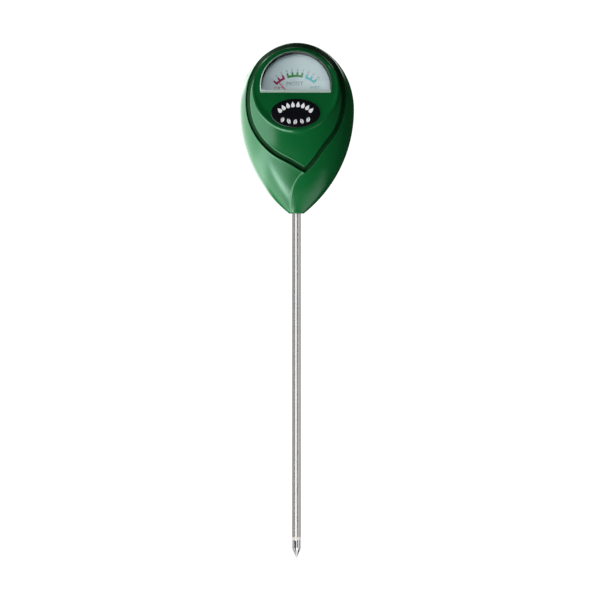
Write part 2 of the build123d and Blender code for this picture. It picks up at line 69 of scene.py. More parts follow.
# ---- Head, as in the CAD model ---------------------------------------------------------------
WIDEST_Z, FLANK_R = 58.0, 73.9
SPINDLE_V = -5.9
FACE = SPINDLE - SPINDLE_V * UP  # middle of the flat meter face
FACE_R, WALL, BEAD = 22.8, 2.0, 0.08
WINDOW_R, WINDOW_V, WINDOW_SILL = 20.0, 2.2, -2.0
BADGE_V, BADGE_RADII, BADGE_SINK, BADGE_PROUD = -13.9, (13.7, 8.25), 0.6, 0.45
GROOVE_TIP, GROOVE_TOP = (5.3, 24.5), (0.0, 94.0)
GROOVE_LEFT = [
    (-1.0, 28.1), (-12.8, 34.9), (-23.7, 48.3), (-26.6, 61.7), (-24.7, 75.1), (-18.5, 86.2), (-10.0, 91.8),
]
GROOVE_RIGHT = [(10.4, 91.6), (18.6, 86.0), (24.9, 75.1), (26.8, 61.7), (23.4, 48.3), (14.8, 36.0)]
GROOVE_HALF, GROOVE_DEPTH = 1.2, 1.3
GROOVE_SPAN = 2.4  # how far to each side of the groove the mesh keeps its fine rows
CREASE = [
    (-2.6, 0.0), (-3.0, 2.0), (-3.4, 4.8), (-3.2, 8.4), (-2.4, 12.4), (-0.8, 16.8), (1.9, 21.0), GROOVE_TIP,
]
BELLY = 2.3  # how square the front's level sections are; 2 is an ellipse
HEEL_R = 0.9  # rounding of the underside's edge
NECK_DEPTH, NECK_FADE = 3.1, 6.0
PARTING = 0.08  # half of the gap between the shells
LIP_INSET = 2.1  # the front shell's tongue behind the rear shell's wall
TONGUE = 1.2  # how thick the tongue is and how far it reaches back
CENTRE_Z = 72.3  # the front shell's mesh fans out from here, inside the window
DIAL_W = -7.0  # the dial's front, measured from the meter face
TIP_R, TIP_BARREL, TIP_POINT = 2.33, 5.1, 5.0
TIP_TOP = box_mm("probe_tip")[1][2]
FLUTES, FLUTE_AZIMUTH, FLUTE_HALF_ANGLE, FLUTE_SINK = 5, radians(-10), radians(8.5), 0.35


# ---- Mesh helpers ----------------------------------------------------------------------------
def on_face(u, v, w=0.0):
    """Points in millimetres from places across, up and out of the meter face."""
    u, v, w = np.broadcast_arrays(np.asarray(u, float), np.asarray(v, float), np.asarray(w, float))
    return FACE + u[..., None] * ACROSS + v[..., None] * UP + w[..., None] * OUT


def make_piece(name, points, faces, body, sharp=35):
    """Mesh object from points in millimetres, smooth except along edges sharper than sharp degrees."""
    mesh = bpy.data.meshes.new(name)
    mesh.from_pydata((np.asarray(points) * MM).tolist(), [], faces)
    bm = bmesh.new()
    bm.from_mesh(mesh)
    bmesh.ops.recalc_face_normals(bm, faces=bm.faces)
    bm.to_mesh(mesh)
    bm.free()
    mesh.polygons.foreach_set("use_smooth", [True] * len(mesh.polygons))
    mesh.set_sharp_from_angle(angle=radians(sharp))
    piece = bpy.data.objects.new(name, mesh)
    bpy.context.scene.collection.objects.link(piece)
    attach(piece, body)
    return piece


def join_rings(first, second, count):
    """Quads between two rings of count points that start at those indices."""
    return [
        (first + i, first + (i + 1) % count, second + (i + 1) % count, second + i) for i in range(count)
    ]


def rings_to_piece(name, rings, body, looped=False, sharp=35):
    """Closed piece through rings of points: capped at both ends, or joined end to end when looped."""
    count = len(rings[0])
    faces = []
    for k in range(len(rings) - 1):
        faces += join_rings(k * count, (k + 1) * count, count)
    last = (len(rings) - 1) * count
    if looped:
        faces += join_rings(last, 0, count)
    else:
        faces += [tuple(range(count))[::-1], tuple(range(last, last + count))]
    return make_piece(name, np.concatenate(rings), faces, body, sharp)


def prisms(name, outlines, low, high, body, slot, place=on_face):
    """Flat outlines on the meter face, each made a closed slab between two levels."""
    points, faces = [], []
    for outline in outlines:
        flat = np.array(outline)
        count, start = len(flat), len(points)
        points += list(place(flat[:, 0], flat[:, 1], low)) + list(place(flat[:, 0], flat[:, 1], high))
        faces += join_rings(start, start + count, count)
        faces += [
            tuple(range(start, start + count))[::-1],
            tuple(range(start + count, start + 2 * count)),
        ]
    return make_piece(name, points, faces, body)


# ---- Shape of the head -----------------------------------------------------------------------
def heel(z):
    """How far the rounded lower edge draws in at a level."""
    rise = np.clip(1 - z / HEEL_R, 0, 1)
    return HEEL_R * (1 - np.sqrt(1 - rise ** 2))


def half_width(z):
    crown = HALF_WIDTH * np.sqrt(np.clip(1 - ((z - WIDEST_Z) / (CROWN_Z - WIDEST_Z)) ** 2, 0, 1))
    flank = HALF_WIDTH - FLANK_R + np.sqrt(FLANK_R ** 2 - np.clip(WIDEST_Z - z, 0, None) ** 2)
    return np.where(z > WIDEST_Z, crown, flank) - heel(z)


def front_depth(z):
    egg = FRONT_DEPTH / HALF_WIDTH * half_width(z)
    return np.sqrt(egg ** 2 + (NECK_DEPTH * np.exp(-z / NECK_FADE)) ** 2) - heel(z)


def front_height(x, z):
    """How far the plain egg stands in front of the parting plane."""
    across = np.clip(np.abs(x) / np.maximum(half_width(z), 1e-6), 0, 1)
    return front_depth(z) * (1 - across ** BELLY) ** (1 / BELLY)


def face_height(z):
    """The flat meter face, measured the same way."""
    return -(FACE[1] + (z - FACE[2]) * UP[1] / UP[2])


def angle_of(x, z):
    return np.arctan2(x, z - CENTRE_Z) % (2 * pi)


TIP_ANGLE = float(angle_of(*GROOVE_TIP))


def reach(angle, inside):
    """Distance from the fan's centre to the edge of a region, along each angle."""
    near, far = np.zeros_like(angle), np.full_like(angle, 2 * CROWN_Z)
    for _ in range(40):
        middle = (near + far) / 2
        within = inside(np.sin(angle) * middle, CENTRE_Z + np.cos(angle) * middle)
        near, far = np.where(within, middle, near), np.where(within, far, middle)
    return near


def in_window(x, z, margin=0.0):
    v = (z - FACE[2]) / cos(TILT)
    return (np.hypot(x, v - WINDOW_V) < WINDOW_R + margin) & (v > WINDOW_SILL - margin)


def in_face(x, z):
    return np.hypot(x, (z - FACE[2]) / cos(TILT)) < FACE_R


def in_outline(x, z):
    return (np.abs(x) < half_width(z)) & (z > 0) & (z < CROWN_Z)


def curve_through(knots, values, where):
    """Smooth curve through values at increasing knots, free at both ends."""
    slope = np.gradient(values, knots)
    k = np.clip(np.searchsorted(knots, where) - 1, 0, len(knots) - 2)
    span = knots[k + 1] - knots[k]
    t = (where - knots[k]) / span
    ends = values[k] * (1 + 2 * t) * (1 - t) ** 2 + values[k + 1] * t ** 2 * (3 - 2 * t)
    return ends + span * t * (1 - t) * (slope[k] * (1 - t) - slope[k + 1] * t)


GROOVE = np.array([GROOVE_TIP, *GROOVE_LEFT, GROOVE_TOP, *GROOVE_RIGHT, GROOVE_TIP])
GROOVE_TURN = (angle_of(GROOVE[:, 0], GROOVE[:, 1]) - TIP_ANGLE) % (2 * pi)
GROOVE_TURN[0], GROOVE_TURN[-1] = 0, 2 * pi
GROOVE_REACH = np.hypot(GROOVE[:, 0], GROOVE[:, 1] - CENTRE_Z)


def groove_reach(angle):
    return curve_through(GROOVE_TURN, GROOVE_REACH, (angle - TIP_ANGLE) % (2 * pi))


LINE_ANGLE = TIP_ANGLE + np.linspace(0, 2 * pi, 1441)
LINE_REACH = curve_through(GROOVE_TURN, GROOVE_REACH, LINE_ANGLE - TIP_ANGLE)
LINE = np.stack([np.sin(LINE_ANGLE) * LINE_REACH, CENTRE_Z + np.cos(LINE_ANGLE) * LINE_REACH], axis=1)


def groove_distance(x, z):
    """Distance from the groove's centreline, negative on the shield."""
    start, run = LINE[:-1], LINE[1:] - LINE[:-1]
    here = np.stack([x, z], axis=-1)[:, None, :] - start
    along = np.clip((here * run).sum(-1) / (run ** 2).sum(-1), 0, 1)
    gap = np.sqrt(((here - along[..., None] * run) ** 2).sum(-1)).min(1)
    outside = np.hypot(x, z - CENTRE_Z) > groove_reach(angle_of(x, z))
    return np.where(outside, gap, -gap)


def ease(t):
    t = np.clip(t, 0, 1)
    return t * t * (3 - 2 * t)


CREASE_X, CREASE_Z = np.array(CREASE).T


def crease_x(z):
    return curve_through(CREASE_Z, CREASE_X, np.clip(z, 0, CREASE_Z[-1]))


LIP, LIP_GAP, LIP_SPREAD = 0.1, 1.75, 0.4
LEAF_START, LEAF_RISE, LEAF_FADE = 1.4, 0.4, 9.0
LAP_TOP, LAP_FOOT, LAP_EDGE, LAP_FADE = 0.5, 0.95, 0.22, 12.0
LAP_START, LAP_RUN = 9, 14  # the lap gets lower above this level and is gone this far past the shield's tip
RIM_FADE = 2.5  # relief is at half strength where the egg stands this far out


def relief(x, z, height):
    """What the groove, the leaves and their overlap add to the plain egg."""
    gap = groove_distance(x, z)
    cut = -GROOVE_DEPTH * np.exp(-(gap / GROOVE_HALF) ** 6)
    lips = LIP * np.exp(-((np.abs(gap) - LIP_GAP) / LIP_SPREAD) ** 2)
    leaf = ease(gap / LEAF_START)
    rise = LEAF_RISE * leaf * np.exp(-np.clip(gap - LEAF_START, 0, None) / LEAF_FADE)
    beside = x - crease_x(z)
    lap = LAP_FOOT + (LAP_TOP - LAP_FOOT) * ease((z - LAP_START) / (GROOVE_TIP[1] - LAP_START))
    lap = lap * ease((GROOVE_TIP[1] + LAP_RUN - z) / LAP_RUN)
    over = lap * 0.5 * (1 + np.tanh(beside / LAP_EDGE)) * np.exp(-np.clip(beside, 0, None) / LAP_FADE)
    return (cut + lips + rise + over * leaf) * height / (height + RIM_FADE)


# ---- Front shell -----------------------------------------------------------------------------
COLUMNS = 600
FOOT_SPREAD, CREASE_SPREAD = radians(25), radians(8)  # how far the leaves' seam bends the columns beside it
WINDOW_ROUND = 0.15
INNER_DEPTH = 0.88  # depth of the shell's hollow as a share of the depth outside


def column_angles(count):
    """Directions of the mesh's columns, closest together at the tip of the shield."""
    fine = np.linspace(0, 2 * pi, 7201)
    away = np.minimum(fine, 2 * pi - fine)
    packed = np.cumsum(1 + 9 * np.exp(-(away / radians(3)) ** 2))
    packed = (packed - packed[0]) / (packed[-1] - packed[0])
    angles = TIP_ANGLE + np.interp(np.arange(count) / count, packed, fine)
    corner = WINDOW_R * cos(asin((WINDOW_V - WINDOW_SILL) / WINDOW_R))
    corner_z = FACE[2] + WINDOW_SILL * cos(TILT)
    for x, z in ((-corner, corner_z), (corner, corner_z)):
        turn = TIP_ANGLE + (angle_of(x, z) - TIP_ANGLE) % (2 * pi)
        angles[np.argmin(np.abs(angles - turn))] = turn
    return angles


def front_shell():
    angle = column_angles(COLUMNS)
    sine, cosine = np.sin(angle), np.cos(angle)

    def at(distance):
        return sine * distance, CENTRE_Z + cosine * distance

    def row(x, height, z):
        return np.stack([x, -height, z], axis=1)

    def window_row(margin, w):
        x, z = at(reach(angle, lambda x, z: in_window(x, z, margin)))
        return on_face(x, (z - FACE[2]) / cos(TILT), w)

    rows = [window_row(0, -WALL), window_row(0, -WINDOW_ROUND)]
    rows += [window_row(0.04, -0.05), window_row(WINDOW_ROUND, 0)]
    window_edge = reach(angle, lambda x, z: in_window(x, z, WINDOW_ROUND))
    face_edge = reach(angle, in_face)
    for share in (0.2, 0.5, 0.8):
        x, z = at(window_edge + share * (face_edge - window_edge))
        rows.append(row(x, face_height(z), z))
    for step, bead in ((0, 0), (0.08, 0.8), (0.2, 1.0), (0.35, 0.8), (0.6, 0.4), (1.2, 0.1)):
        x, z = at(face_edge + step)
        rows.append(row(x, np.maximum(front_height(x, z), face_height(z)) + BEAD * bead, z))

    middle = groove_reach(angle)
    slant = np.sqrt(1 + (np.gradient(middle, angle) / middle) ** 2)
    slant[0] = slant[-1]
    slant = np.minimum(slant, 1.5)
    inner_end = np.maximum(middle - GROOVE_SPAN * slant, face_edge + 1.6)
    for share in np.linspace(0, 1, 16)[1:-1]:
        x, z = at(face_edge + 1.2 + share * (inner_end - face_edge - 1.2))
        height = front_height(x, z)
        rows.append(row(x, height + relief(x, z, height), z))
    outline = reach(angle, in_outline)
    outer_end = np.minimum(GROOVE_SPAN * slant, 0.75 * (outline - middle))
    across = np.array([0.3, 0.6, 0.85, 1.0, 1.12, 1.25, 1.4, 1.6, 1.85, 2.1, GROOVE_SPAN])
    for gap in (*-across[::-1], 0, *across):
        side = middle - inner_end if gap < 0 else outer_end
        x, z = at(middle + gap / GROOVE_SPAN * side)
        height = front_height(x, z)
        rows.append(row(x, height + relief(x, z, height), z))

    turned = angle - TIP_ANGLE
    turned = np.minimum(turned, 2 * pi - turned) * np.sign(pi - turned)
    foot_turn = float(angle_of(*CREASE[0])) - TIP_ANGLE
    foot_angle = angle + foot_turn * np.exp(-(turned / FOOT_SPREAD) ** 2)
    start_x, start_z = at(middle + outer_end)
    foot = reach(foot_angle, in_outline)
    foot_x, foot_z = np.sin(foot_angle) * foot, CENTRE_Z + np.cos(foot_angle) * foot
    follow = np.exp(-(turned / CREASE_SPREAD) ** 2)
    for u in np.linspace(0, 1, 50)[1:]:
        share = 1 - (1 - u) ** 2
        x = start_x + share * (foot_x - start_x)
        z = start_z + share * (foot_z - start_z)
        straight = CREASE[0][0] + (GROOVE_TIP[0] - CREASE[0][0]) * z / GROOVE_TIP[1]
        bend = follow * (crease_x(z) - straight) * (z < GROOVE_TIP[1]) * (1 - share ** 4)
        x = x + bend
        height = front_height(x, z)
        rows.append(row(x, np.maximum(height + relief(x, z, height), PARTING), z))
    rows.append(row(foot_x, np.full_like(foot_x, PARTING), foot_z))

    inner_scale = 1 - LIP_INSET / HALF_WIDTH
    tongue = LIP_INSET + TONGUE
    for inset, height in ((LIP_INSET, PARTING), (LIP_INSET, -TONGUE), (tongue, -TONGUE), (tongue, 1)):
        lip_x = foot_x * (1 - inset / HALF_WIDTH)
        lip_z = WIDEST_Z + (foot_z - WIDEST_Z) * (1 - inset / (CROWN_Z - WIDEST_Z))
        rows.append(row(lip_x, np.full_like(lip_x, height), lip_z))
    back = reach(angle, lambda x, z: in_window(x, z, 0))
    end_x, end_z = at(back + 1.0)
    for u in np.linspace(0, 1, 14)[1:]:
        share = u ** 1.6
        x = lip_x + share * (end_x - lip_x)
        z = lip_z + share * (end_z - lip_z)
        inside = front_height(x / inner_scale, WIDEST_Z + (z - WIDEST_Z) / inner_scale) * INNER_DEPTH
        flat = face_height(z) - WALL / cos(TILT)
        rows.append(row(x, np.maximum(np.minimum(inside, flat), PARTING), z))
    shell_piece = rings_to_piece("front_shell", rows, "case", looped=True, sharp=50)
    # Faces on the groove's floor take the second material, a darker green that paints the shade in the groove.
    middles = np.array([polygon.center for polygon in shell_piece.data.polygons]) / MM
    outside = -middles[:, 1] > front_height(middles[:, 0], middles[:, 2]) - GROOVE_DEPTH - 0.3
    groove_shade_faces = outside & (np.abs(groove_distance(middles[:, 0], middles[:, 2])) < GROOVE_HALF)
    shell_piece.data.polygons.foreach_set("material_index", groove_shade_faces.astype(np.int32))
    return shell_piece


# ---- Window, badge and print -----------------------------------------------------------------
def window_ring(count, margin, sill_rise, w):
    """Outline of the window grown by margin, its sill raised by sill_rise, at a level."""
    angle = np.linspace(0, 2 * pi, count, endpoint=False)

    def inside(x, z):
        v = (z - FACE[2]) / cos(TILT)
        return (np.hypot(x, v - WINDOW_V) < WINDOW_R + margin) & (v > WINDOW_SILL - margin + sill_rise)

    distance = reach(angle, inside)
    return on_face(np.sin(angle) * distance, (CENTRE_Z + np.cos(angle) * distance - FACE[2]) / cos(TILT), w)


def lens():
    """Clear cover with a narrow bevel round its arch and a wider one along its sill."""
    count = 360
    levels = [
        (-0.75, 0.75, 0.7),
        (-0.7, 0.7, 0.69),
        (-0.08, 0.0, 0.12),
        (-0.02, 0.0, 0.0),
        (-0.02, 0.0, -WALL),
        (1.2, 0.0, -WALL - 0.04),
        (1.2, 0.0, -3.2),
    ]
    rings = [window_ring(count, margin, rise, w) for margin, rise, w in levels]
    return rings_to_piece("window_lens_clear", rings, "case", sharp=20)


def lens_mask():
    """Thin dark ring behind the cover, just inside its bevel, painting the shadow line round the window's edge."""
    count = 360
    levels = [(-0.05, 0.0, -3.25), (-0.05, 0.0, -3.5), (-1.0, 1.2, -3.5), (-1.0, 1.2, -3.25)]
    rings = [window_ring(count, margin, rise, w) for margin, rise, w in levels]
    return rings_to_piece("lens_mask", rings, "case", looped=True, sharp=20)


def fluted_tip():
    """Pointed electrode with a flute down each of its five sides, the flute floors painted dark as shade."""
    count = 240
    angle = np.linspace(0, 2 * pi, count, endpoint=False)
    nearest = np.abs((angle - FLUTE_AZIMUTH + pi / FLUTES) % (2 * pi / FLUTES) - pi / FLUTES)
    flute = 1 - ease((nearest - 0.6 * FLUTE_HALF_ANGLE) / (0.5 * FLUTE_HALF_ANGLE))
    top, shoulder = TIP_TOP, TIP_TOP - TIP_BARREL
    point = shoulder - TIP_POINT
    levels = [(top, TIP_R - 0.1, 0), (top - 0.1, TIP_R, 0), (top - 0.5, TIP_R, 0), (top - 0.6, TIP_R, 1)]
    levels += [(top - 2, TIP_R, 1), (top - 3.5, TIP_R, 1), (shoulder + 0.3, TIP_R, 1)]
    for share in (0.04, 0.2, 0.4, 0.6, 0.75, 0.9, 1.0):
        levels.append((shoulder - share * TIP_POINT, TIP_R + share * (0.15 - TIP_R), 1 - ease(share * 1.1)))
    rings = []
    for z, radius, cut in levels:
        reach_out = radius - FLUTE_SINK * flute * cut
        x, y = reach_out * np.sin(angle), -reach_out * np.cos(angle)
        rings.append(np.stack([x, y, np.full(count, z)], axis=1))
    tip = rings_to_piece("fluted_tip", rings, "case", sharp=40)
    # Faces in the flutes take the second material, a dark one that paints their shade.
    middles = np.array([polygon.center for polygon in tip.data.polygons]) / MM
    around = np.arctan2(middles[:, 0], -middles[:, 1])
    off = np.abs((around - FLUTE_AZIMUTH + pi / FLUTES) % (2 * pi / FLUTES) - pi / FLUTES)
    shaded_flutes = (off < FLUTE_HALF_ANGLE) & (middles[:, 2] < top - 0.55) & (middles[:, 2] > point + 1.0)
    tip.data.polygons.foreach_set("material_index", shaded_flutes.astype(np.int32))
    return tip


def badge():
    """Oval plate with a softly rounded edge."""
    angle = np.linspace(0, 2 * pi, 160, endpoint=False)
    edge = 0.4

    def oval(inset, w):
        across, up = BADGE_RADII[0] - inset, BADGE_RADII[1] - inset
        return on_face(across * np.sin(angle), BADGE_V + up * np.cos(angle), w)

    rings = []
    for turn in np.linspace(0, pi / 2, 6):
        rings.append(oval(edge * (1 - sin(turn)), BADGE_PROUD - edge * (1 - cos(turn))))
    rings.append(oval(0, -BADGE_SINK))
    return rings_to_piece("badge_oval", rings, "case", sharp=60)


def placed(outline, middle, lean):
    """An outline turned by lean radians clockwise and moved to middle."""
    return [
        (middle[0] + u * cos(lean) + v * sin(lean), middle[1] - u * sin(lean) + v * cos(lean))
        for u, v in outline
    ]


def drop_outline(width, height):
    """Water drop standing on its round end."""
    outline = []
    for k in range(28):
        turn = 2 * pi * k / 28
        outline.append((width / 2 * sin(turn) * sin(turn / 2) ** 1.3, height / 2 * cos(turn)))
    return outline


def leaf_halves(width, height):
    """Pointed leaf in two halves with a gap for its midrib."""
    halves = []
    for side in (-1, 1):
        bow = [(side * (0.13 + width / 2 * sin(pi * k / 12)), height * (k / 12 - 0.5)) for k in range(13)]
        halves.append(bow)
    return halves


DROPS, DROP_SIZE, DROP_SWEEP = 8, (2.9, 3.3), 104
LEAVES, LEAF_SIZE, LEAF_SWEEP, LEAF_LEAN = 5, (1.7, 3.3), 44, radians(20)


def badge_print():
    """Arch of drops over a row of leaves."""
    outlines = []
    for k in range(DROPS):
        lean = radians(-DROP_SWEEP / 2 + DROP_SWEEP * k / (DROPS - 1))
        middle = (11.4 * sin(lean) * 0.98, BADGE_V - 3.9 + 8.9 * cos(lean))
        outlines.append(placed(drop_outline(*DROP_SIZE), middle, lean * 0.85))
    for k in range(LEAVES):
        lean = radians(-LEAF_SWEEP / 2 + LEAF_SWEEP * k / (LEAVES - 1))
        middle = (17 * sin(lean) * 1.12, BADGE_V + 11.3 - 16.4 * cos(lean))
        for half in leaf_halves(*LEAF_SIZE):
            outlines.append(placed(half, middle, -LEAF_LEAN if k % 2 else LEAF_LEAN))
    return prisms(
        "badge_print", outlines, BADGE_PROUD - 0.02, BADGE_PROUD + 0.03, "case", "ring_plastic"
    )


SCALE_MIDDLE, SCALE_STEP, MARKS = -2.4, 9.4, 10
BAND_LOW, BAND_HIGH, TOOTH_HIGH = 14.9, 16.2, 17.8  # distances from the spindle
BAND_PAST, TOOTH_HALF = radians(2.2), radians(1.9)
NUMBER_R, NUMBER_SIZE = 18.9, 2.1
PRINT = (DIAL_W - 0.01, DIAL_W + 0.03)


def mark_angle(index):
    return radians(SCALE_MIDDLE + SCALE_STEP * (index - (MARKS - 1) / 2))


def on_scale(distance, angle):
    """A place on the dial by its distance from the spindle and its angle right of upright."""
    return distance * sin(angle), SPINDLE_V + distance * cos(angle)


def comb(first, last):
    """Curved band from before the first mark to past the last, with a tooth at each mark."""
    start, end = mark_angle(first) - BAND_PAST, mark_angle(last) + BAND_PAST
    top_half = TOOTH_HALF * 0.85
    outline = [on_scale(BAND_LOW, start + (end - start) * k / 16) for k in range(17)]
    for index in range(last, first - 1, -1):
        middle = mark_angle(index)
        outline += [on_scale(BAND_HIGH, middle + TOOTH_HALF), on_scale(TOOTH_HIGH, middle + top_half)]
        outline += [on_scale(TOOTH_HIGH, middle - top_half), on_scale(BAND_HIGH, middle - TOOTH_HALF)]
        if index > first:
            step = (mark_angle(index - 1) - middle) / 4
            outline += [on_scale(BAND_HIGH, middle + step * k) for k in (1, 2, 3)]
    return outline


def lettering(name, words):
    """Flat letters on the dial: (text, place from the middle of the face, size, lean in radians)."""
    points, faces = [], []
    for text, place, size, lean in words:
        curve = bpy.data.curves.new(name + "_" + text, "FONT")
        curve.body, curve.size, curve.align_x, curve.align_y = text, size, "CENTER", "CENTER"
        curve.resolution_u = 3
        letter = bpy.data.objects.new(curve.name, curve)
        bpy.context.scene.collection.objects.link(letter)
        bpy.context.view_layer.update()
        flat = bpy.data.meshes.new_from_object(letter)
        bpy.data.objects.remove(letter)
        bm = bmesh.new()
        bm.from_mesh(flat)
        bmesh.ops.remove_doubles(bm, verts=bm.verts, dist=size * 0.002)
        bmesh.ops.dissolve_degenerate(bm, edges=bm.edges, dist=size * 0.002)
        whole = bmesh.ops.extrude_face_region(bm, geom=list(bm.faces), use_keep_orig=True)
        for element in whole["geom"]:
            if isinstance(element, bmesh.types.BMVert):
                element.co.z += 1
        bm.verts.index_update()
        start = len(points)
        for vert in bm.verts:
            u, v = placed([(vert.co.x, vert.co.y)], place, lean)[0]
            points.append(on_face(u, v, PRINT[1] if vert.co.z > 0.5 else PRINT[0]))
        faces += [tuple(start + vert.index for vert in face.verts) for face in bm.faces]
        bm.free()
        bpy.data.meshes.remove(flat)
    return make_piece(name, points, faces, "case")


def dial_print():
    """Three coloured combs, numbers 1 to 10 and the names of the zones."""
    pieces = {
        "scale_red": prisms("scale_red", [comb(0, 2)], *PRINT, "case", "dial_grey"),
        "scale_green": prisms("scale_green", [comb(3, 6)], *PRINT, "case", "dial_grey"),
        "scale_blue": prisms("scale_blue", [comb(7, 9)], *PRINT, "case", "dial_grey"),
    }
    numbers = []
    for index in range(MARKS):
        lean = mark_angle(index)
        numbers.append((str(index + 1), on_scale(NUMBER_R, lean), NUMBER_SIZE, lean))
    pieces["scale_numbers"] = lettering("scale_numbers", numbers)
    pieces["zone_moist"] = lettering("zone_moist", [("MOIST", (-0.7, SPINDLE_V + 10.9), 3.3, 0)])
    pieces["zone_dry"] = lettering("zone_dry", [("DRY", (-9.7, SPINDLE_V + 8.2), 2.7, 0)])
    pieces["zone_wet"] = lettering("zone_wet", [("WET", (10.4, SPINDLE_V + 8.6), 2.6, 0)])
    return pieces


# ---- Materials -------------------------------------------------------------------------------
class Nodes:
    """Short way to build a material's node tree."""

    def __init__(self, name):
        self.material = bpy.data.materials.new(name)
        self.material.use_nodes = True
        self.tree = self.material.node_tree
        self.tree.nodes.clear()
        self.out = self.add("ShaderNodeOutputMaterial")

    def add(self, kind, **values):
        node = self.tree.nodes.new(kind)
        for key, value in values.items():
            if hasattr(node, key):
                setattr(node, key, value)
            else:
                node.inputs[key.replace("_", " ")].default_value = value
        return node

    def link(self, source, target):
        self.tree.links.new(source, target)

    def object_place(self, scale):
        """Place on the object in metres, stretched by scale."""
        where = self.add("ShaderNodeTexCoord")
        stretch = self.add("ShaderNodeMapping")
        stretch.inputs["Scale"].default_value = scale
        self.link(where.outputs["Object"], stretch.inputs["Vector"])
        return stretch.outputs["Vector"]

    def noise(self, place, scale, detail=3.0):
        grain = self.add("ShaderNodeTexNoise", Scale=scale, Detail=detail)
        self.link(place, grain.inputs["Vector"])
        return grain.outputs["Fac"]

    def remap(self, value, low, high):
        span = self.add("ShaderNodeMapRange")
        span.inputs["From Min"].default_value = 0.3
        span.inputs["From Max"].default_value = 0.7
        span.inputs["To Min"].default_value = low
        span.inputs["To Max"].default_value = high
        self.link(value, span.inputs["Value"])
        return span.outputs["Result"]


def blended(nodes, value, first, second):
    """Colour between first and second, driven by value."""
    mix = nodes.tree.nodes.new("ShaderNodeMix")
    mix.data_type = "RGBA"
    colours = [socket for socket in mix.inputs if socket.type == "RGBA"]
    colours[0].default_value = (*first, 1)
    colours[1].default_value = (*second, 1)
    nodes.link(value, mix.inputs["Factor"])
    return next(socket for socket in mix.outputs if socket.type == "RGBA")


def surface(
    name, colour, rough, metallic=0.0, spread=0.12, cloud=60.0, grain=900.0, bump=0.02,
    stretch=(1, 1, 1), rough_spread=0.06, tint=None, level=0.5,
):
    """Opaque finish: cloudy colour, uneven roughness and a fine grain, all procedural."""
    nodes = Nodes(name)
    shader = nodes.add("ShaderNodeBsdfPrincipled")
    shader.inputs["Metallic"].default_value = metallic
    shader.inputs["Specular IOR Level"].default_value = level
    if tint:
        shader.inputs["Specular Tint"].default_value = (*tint, 1)
    place = nodes.object_place(stretch)
    clouds = nodes.remap(nodes.noise(place, cloud, 4.0), 0, 1)
    darker = [c * (1 - spread) for c in colour]
    lighter = [min(1.0, c * (1 + spread)) for c in colour]
    nodes.link(blended(nodes, clouds, darker, lighter), shader.inputs["Base Color"])
    fine = nodes.noise(place, grain, 2.0)
    nodes.link(nodes.remap(fine, rough - rough_spread, rough + rough_spread), shader.inputs["Roughness"])
    relief_node = nodes.add("ShaderNodeBump")
    relief_node.inputs["Strength"].default_value = bump
    relief_node.inputs["Distance"].default_value = 0.0002
    nodes.link(fine, relief_node.inputs["Height"])
    nodes.link(relief_node.outputs["Normal"], shader.inputs["Normal"])
    nodes.link(shader.outputs["BSDF"], nodes.out.inputs["Surface"])
    return nodes.material


def clear(name, colour, share, rough, metallic=0.0):
    """See-through plastic that still mirrors the room, more so where it is seen aslant."""
    nodes = Nodes(name)
    shader = nodes.add("ShaderNodeBsdfPrincipled")
    shader.inputs["Base Color"].default_value = (*colour, 1)
    shader.inputs["Metallic"].default_value = metallic
    place = nodes.object_place((1, 1, 1))
    haze = nodes.noise(place, 180.0, 3.0)
    nodes.link(nodes.remap(haze, rough * 0.7, rough * 1.3), shader.inputs["Roughness"])
    through = nodes.add("ShaderNodeBsdfTransparent")
    facing = nodes.add("ShaderNodeLayerWeight")
    facing.inputs["Blend"].default_value = 0.2
    amount = nodes.add("ShaderNodeMapRange")
    amount.inputs["To Min"].default_value = share
    amount.inputs["To Max"].default_value = min(1.0, share + 0.6)
    nodes.link(facing.outputs["Fresnel"], amount.inputs["Value"])
    mix = nodes.add("ShaderNodeMixShader")
    nodes.link(amount.outputs["Result"], mix.inputs["Fac"])
    nodes.link(through.outputs["BSDF"], mix.inputs[1])
    nodes.link(shader.outputs["BSDF"], mix.inputs[2])
    nodes.link(mix.outputs["Shader"], nodes.out.inputs["Surface"])
    return nodes.material


